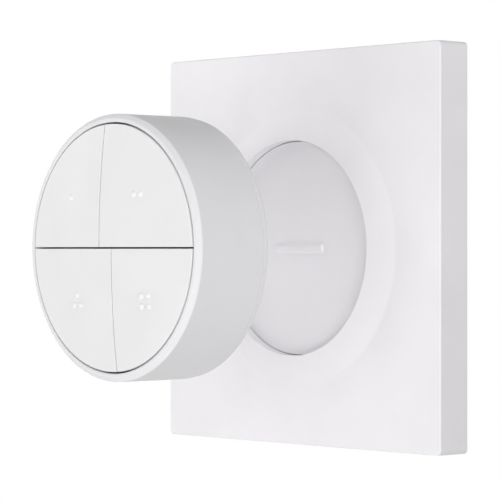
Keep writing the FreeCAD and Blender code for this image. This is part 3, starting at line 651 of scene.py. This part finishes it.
# %% [markdown]
# ## Moulded pieces with their edges eased
#
# The CAD model already has the right shape for the mounting base, the rear housing, the battery
# cover and the tape pads, but its edges are perfectly sharp. No moulded edge is. Each piece is
# copied, its loose triangles are joined, and its edges are rounded by about a tenth of a
# millimetre, which is what makes them catch a line of light.

# %% Eased copies
MOULD_EDGE = 0.1 * MM
TAPE_EDGE = 0.2 * MM
FLAT_DEGREES = 0.3
EASED_STEPS = 2


def joined_copy(node):
    """A copy of a CAD piece with its triangles joined and its flat faces whole, in edit mode."""
    source = frame["nodes"][node]
    piece = source.copy()
    piece.data = source.data.copy()
    piece.name = "eased_" + node
    piece.parent = None
    del piece["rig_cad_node"]
    bpy.context.scene.collection.objects.link(piece)
    bpy.ops.object.select_all(action="DESELECT")
    piece.select_set(True)
    bpy.context.view_layer.objects.active = piece
    bpy.ops.object.mode_set(mode="EDIT")
    bpy.ops.mesh.select_mode(type="VERT")
    bpy.ops.mesh.select_all(action="SELECT")
    bpy.ops.mesh.customdata_custom_splitnormals_clear()
    bpy.ops.mesh.remove_doubles(threshold=NEAR)
    bpy.ops.mesh.dissolve_limited(angle_limit=math.radians(FLAT_DEGREES))
    return piece


def ease_edges(piece, width):
    """Rounds the piece's sharp edges, and leaves it in edit mode."""
    bpy.ops.object.mode_set(mode="OBJECT")
    bevel = piece.modifiers.new("edges", "BEVEL")
    bevel.limit_method = "ANGLE"
    bevel.angle_limit = math.radians(SHARP_DEGREES)
    bevel.width = width
    bevel.segments = EASED_STEPS
    bpy.ops.object.modifier_apply(modifier=bevel.name)
    bpy.ops.object.mode_set(mode="EDIT")


for node, body, slot, width in (
    ("mounting_base", "wall_mount", "base_plastic", MOULD_EDGE),
    ("adhesive_pads", "wall_mount", "foam_tape", TAPE_EDGE),
    ("battery_cover", "battery_cover", "housing_plastic", MOULD_EDGE),
):
    piece = joined_copy(node)
    ease_edges(piece, width)
    close_piece(piece)
    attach(piece, body)
    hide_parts(node)

# %% [markdown]
# The rear housing has many small steps inside, so only the edges of its rim are rounded.

# %% Rear housing
RIM_INSIDE = 25.0 * MM

bpy.ops.object.mode_set(mode="OBJECT")
eased_housing = joined_copy("rear_housing")
pick("EDGE", lambda p: math.hypot(p.x, p.z) > RIM_INSIDE)
bpy.ops.mesh.bevel(offset=MOULD_EDGE, segments=EASED_STEPS, affect="EDGES")
close_piece(eased_housing)
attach(eased_housing, "puck")
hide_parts("rear_housing")

# %% [markdown]
# ## Finishes: moulded plastics
#
# Almost all that shows is white ABS or a blend of it with polycarbonate, injection-moulded. Its
# mould was spark-eroded, which leaves a fine even grain that spreads highlights. The real grain is
# about 0.05 mm across, finer than a pixel, so it is drawn at 0.12 to 0.2 mm, just enough to show.
# Where the melt flowed, the tone and the gloss drift a little over centimetres.
#
# All materials are built from the same few steps: noise that drifts between two numbers, a colour
# between two tones, and a shader with fine relief.

# %% Steps that every material uses
NOISE_LOW = 0.3
NOISE_HIGH = 0.7


def new_material(name):
    """An empty material, its tree, and the place on the piece in metres."""
    material = bpy.data.materials.new(name)
    material.use_nodes = True
    material.node_tree.nodes.clear()
    place = add_node(material.node_tree, "ShaderNodeTexCoord").outputs["Object"]
    return material, material.node_tree, place


def drift(tree, place, size, low, high):
    """Noise of this size, as a number that wanders between low and high."""
    noise = add_node(tree, "ShaderNodeTexNoise", {"Vector": place, "Scale": 1 / size,
                     "Detail": 3.0})
    wander = add_node(tree, "ShaderNodeMapRange", {"Value": noise.outputs["Fac"],
                      "From Min": NOISE_LOW, "From Max": NOISE_HIGH, "To Min": low, "To Max": high})
    return wander.outputs["Result"]


def tone(tree, factor, dark, light):
    """A colour between two hex values."""
    mix = add_node(tree, "ShaderNodeMix", data_type="RGBA")
    tree.links.new(factor, mix.inputs["Factor"])
    mix.inputs["A"].default_value = linear(dark)
    mix.inputs["B"].default_value = linear(light)
    return mix.outputs["Result"]


def surface(tree, inputs, height=None, relief=0.0):
    """The shader and the output, with a height pattern as fine relief."""
    if height is not None:
        bump = add_node(tree, "ShaderNodeBump", {"Height": height, "Distance": relief,
                        "Strength": 1.0})
        inputs = {**inputs, "Normal": bump.outputs["Normal"]}
    shader = add_node(tree, "ShaderNodeBsdfPrincipled", inputs)
    add_node(tree, "ShaderNodeOutputMaterial", {"Surface": shader.outputs["BSDF"]})


# %% [markdown]
# One function makes the moulded finishes. Each has two tones, the least and most roughness, the
# width of its grain and the height of its relief, both in millimetres. The ring's shine is lowered,
# because its dense grain scatters even the light that strikes it at a low slant.

# %% Moulded plastics
PLASTIC_IOR = 1.53
PLAIN_SHINE = 0.5
RING_SHINE = 0.15
FLOW = 14 * MM


def moulded(name, dark, light, gloss, grain, relief, shine=PLAIN_SHINE):
    """Injection-moulded plastic, with its grain and relief in millimetres."""
    material, tree, place = new_material(name)
    mould_grain = add_node(tree, "ShaderNodeTexNoise", {"Vector": place,
                           "Scale": 1 / (grain * MM), "Detail": 2.0, "Roughness": 0.6})
    surface(tree, {
        "Base Color": tone(tree, drift(tree, place, FLOW, 0.0, 1.0), dark, light),
        "Roughness": drift(tree, place, FLOW / 3, *gloss),
        "IOR": PLASTIC_IOR,
        "Specular IOR Level": shine,
    }, mould_grain.outputs["Fac"], relief * MM)
    return material


FINISHES = {
    # White ABS from a spark-eroded mould: one soft even white with hardly a highlight.
    "cover_plate": moulded("plate_abs_fine_grain", "EBE9EC", "EFEDF0", (0.56, 0.64), 0.16, 0.004),
    # The same ABS from another mould: a shade darker and flatter than the plate.
    "dock_floor": moulded("floor_abs_fine_grain", "E8E6E9", "EBE9EC", (0.58, 0.66), 0.16, 0.004),
    # Polycarbonate blend, hard and dense: a clean turn from light to shade round the ring.
    "turning_ring": moulded("ring_pc_abs_matt", "EAE9EB", "EDECEE", (0.52, 0.60), 0.12, 0.002,
                            shine=RING_SHINE),
    # The same blend with a coarser grain: the caps look a touch whiter than the ring.
    "button_cap": moulded("cap_pc_abs_matt", "EAEAEB", "EEEEEF", (0.54, 0.62), 0.14, 0.004),
    # Matt ABS of the housing and the battery cover: white, a little cool.
    "housing": moulded("housing_abs_matt", "E9E8EA", "ECEBED", (0.54, 0.62), 0.16, 0.004),
    # Uncoloured ABS from a polished mould, behind the plate: ivory grey and slightly glossy.
    "base": moulded("base_abs_natural", "DDDCDA", "E3E2E0", (0.38, 0.50), 0.3, 0.006),
    # Grey ABS inside the puck: dull, with soft wide highlights.
    "chassis": moulded("chassis_abs_grey", "5A5A5C", "646466", (0.40, 0.52), 0.2, 0.005),
    # Polyester film, rolled: smooth and faintly shiny.
    "glide": moulded("glide_polyester_film", "DCDBD6", "E2E1DC", (0.20, 0.28), 0.4, 0.001),
    # Uncoloured acetal: milky and waxy.
    "acetal": moulded("detent_acetal_natural", "DFDED8", "E6E5DF", (0.28, 0.36), 0.3, 0.002),
    # Black nylon of the switch bodies: near black with a grey sheen.
    "switch": moulded("switch_nylon_black", "202022", "28282A", (0.35, 0.45), 0.15, 0.003),
    # Brown nylon of the plungers: a warm brown that is easy to find on the board.
    "plunger": moulded("plunger_nylon_brown", "6A3A22", "744228", (0.30, 0.40), 0.15, 0.003),
    # Epoxy that chips are cast in: black, dull and slightly sandy.
    "chip": moulded("chip_epoxy_black", "191A1B", "222324", (0.50, 0.62), 0.08, 0.004),
    # Ferrite powder bound in plastic: charcoal and rough.
    "ferrite": moulded("magnet_bonded_ferrite", "2B2A2A", "353433", (0.55, 0.70), 0.2, 0.010),
}
print(len(FINISHES), "moulded finishes")

# %% [markdown]
# ## Finishes: metals, rubber, foam and board
#
# The pieces inside are finished too, because they show when the puck is taken apart. Plated sheet
# has a soft mottle and fine lines along the way it was drawn. Zinc looks bluish and satin, tin a
# little yellower, nickel on bronze warm, nickel on steel cool and brighter, and a plated magnet is
# nearly a mirror without any lines.

# %% Metals
METAL_GRAIN = 0.05 * MM
METAL_RELIEF = 0.001 * MM


def plated(name, dark, light, gloss, stretch=(1, 1, 12)):
    """Plated metal with lines drawn along one way of the sheet."""
    material, tree, place = new_material(name)
    drawn = add_node(tree, "ShaderNodeMapping", {"Vector": place,
                     "Scale": [share / max(stretch) for share in stretch]})
    lines = add_node(tree, "ShaderNodeTexNoise", {"Vector": drawn.outputs["Vector"],
                     "Scale": 1 / METAL_GRAIN, "Detail": 2.0})
    surface(tree, {
        "Base Color": tone(tree, drift(tree, place, 3 * MM, 0.0, 1.0), dark, light),
        "Metallic": 1.0,
        "Roughness": drift(tree, place, 1.5 * MM, *gloss),
    }, lines.outputs["Fac"], METAL_RELIEF)
    return material


FINISHES["keeper"] = plated("keeper_zinc_plated_steel", "A9ABAD", "BBBDBF", (0.30, 0.42))
FINISHES["screw"] = plated("screw_zinc_plated_steel", "B2B3B5", "C2C3C4", (0.24, 0.34))
FINISHES["can"] = plated("can_tinned_steel", "B5B5B2", "C4C4C1", (0.28, 0.40))
FINISHES["spring"] = plated("spring_nickel_plated_bronze", "B5AFA2", "C4BFB3", (0.22, 0.32))
FINISHES["cell"] = plated("cell_nickel_plated_steel", "BCBCBB", "C9C9C8", (0.18, 0.28))
FINISHES["magnet"] = plated("magnet_nickel_plated", "C2C0BC", "D0CECA", (0.10, 0.18), (1, 1, 1))
print(len(FINISHES), "finishes with the metals")

# %% [markdown]
# The rear pad is moulded silicone, dull and grey with a dust-like grain. The tape is acrylic foam,
# open at its cut faces, so that small cells show. The board is green lacquer over woven glass. Its
# weave is about 0.5 mm wide and is drawn at about 3 mm, so that it can be felt through the lacquer.

# %% Rubber, foam and board
DUST_GRAIN = 0.1 * MM
FOAM_CELL = 0.35 * MM
WEAVE_WIDTH = math.pi * MM
WAVE_TURN = 20

material, tree, place = new_material("pad_silicone_grey")
dust = add_node(tree, "ShaderNodeTexNoise", {"Vector": place, "Scale": 1 / DUST_GRAIN,
                "Detail": 4.0})
surface(tree, {
    "Base Color": tone(tree, drift(tree, place, 6 * MM, 0.0, 1.0), "B4B4B6", "BDBDBF"),
    "Roughness": drift(tree, place, 1 * MM, 0.66, 0.8),
    "IOR": 1.41,
}, dust.outputs["Fac"], 0.004 * MM)
FINISHES["silicone"] = material

material, tree, place = new_material("tape_acrylic_foam")
cells = add_node(tree, "ShaderNodeTexVoronoi", {"Vector": place, "Scale": 1 / FOAM_CELL})
surface(tree, {
    "Base Color": tone(tree, cells.outputs["Distance"], "DCDCDA", "C2C2C0"),
    "Roughness": 0.85,
    "IOR": 1.47,
}, cells.outputs["Distance"], 0.05 * MM)
FINISHES["foam"] = material

material, tree, place = new_material("board_green_lacquer_on_glass")
weave_scale = math.tau / (WAVE_TURN * WEAVE_WIDTH)
warp = add_node(tree, "ShaderNodeTexWave", {"Vector": place, "Scale": weave_scale},
                bands_direction="X")
weft = add_node(tree, "ShaderNodeTexWave", {"Vector": place, "Scale": weave_scale},
                bands_direction="Z")
weave = add_node(tree, "ShaderNodeMath", {0: warp.outputs["Fac"], 1: weft.outputs["Fac"]},
                 operation="MULTIPLY")
surface(tree, {
    "Base Color": tone(tree, drift(tree, place, 2 * MM, 0.0, 1.0), "1E5A34", "256B3F"),
    "Roughness": 0.3,
    "IOR": 1.5,
}, weave.outputs["Value"], 0.01 * MM)
FINISHES["board"] = material
print(len(FINISHES), "finishes in all")

# %% [markdown]
# ## Which piece has which finish
#
# The CAD's own pieces and the new ones take their finish by name.

# %% Give the finishes
NODE_FINISH = {
    "keeper_plate": "keeper", "dock_screws": "screw", "front_chassis": "chassis",
    "glide_ring": "glide", "circuit_board": "board", "radio_module": "can",
    "board_parts": "chip", "rotation_sensors": "chip", "detent_spring": "spring",
    "battery_holder": "chassis", "coin_cell": "cell", "contact_positive": "spring",
    "contact_negative": "spring", "dock_magnets": "magnet", "housing_screws": "screw",
    "detent_ring": "acetal", "magnet_ring": "ferrite",
}
for dots in CAP_SIDES:
    NODE_FINISH["switch_body_" + str(dots)] = "switch"
    NODE_FINISH["switch_plunger_" + str(dots)] = "plunger"


def dress(piece, finish):
    """Gives the piece this finish and no other."""
    piece.data.materials.clear()
    piece.data.materials.append(FINISHES[finish])


for node, finish in NODE_FINISH.items():
    dress(frame["nodes"][node], finish)
PIECE_FINISH = {
    "cover_plate": "cover_plate", "dock_floor": "dock_floor", "turning_ring": "turning_ring",
    "ribbed_pad": "silicone", "eased_mounting_base": "base", "eased_adhesive_pads": "foam",
    "eased_battery_cover": "housing", "eased_rear_housing": "housing",
}
for dots in CAP_SIDES:
    PIECE_FINISH["button_cap_" + str(dots)] = "button_cap"
for piece, finish in PIECE_FINISH.items():
    dress(bpy.data.objects[piece], finish)
print("dressed", len(NODE_FINISH) + len(PIECE_FINISH), "pieces")

# %% [markdown]
# The floor is white laminate, a little mottled and quite matt. It lies far below the lamps, so it
# would look grey. Where the camera sees it, directly or as a reflection, it glows a little. That
# glow throws no other light on the object, and the object's shadow stays on the floor.

# %% Floor finish
FLOOR_GLOW = 0.45
FLOOR_MOTTLE = 200 * MM

material, tree, place = new_material("floor_white_laminate")
glow = add_node(tree, "ShaderNodeMath", {0: seen_share(tree), 1: FLOOR_GLOW}, operation="MULTIPLY")
surface(tree, {
    "Base Color": tone(tree, drift(tree, place, FLOOR_MOTTLE, 0.0, 1.0), "F1F1F0", "F4F4F4"),
    "Roughness": 0.6,
    "IOR": 1.5,
    "Emission Color": WHITE,
    "Emission Strength": glow.outputs[0],
})
studio_floor.data.materials.append(material)
print("floor dressed")
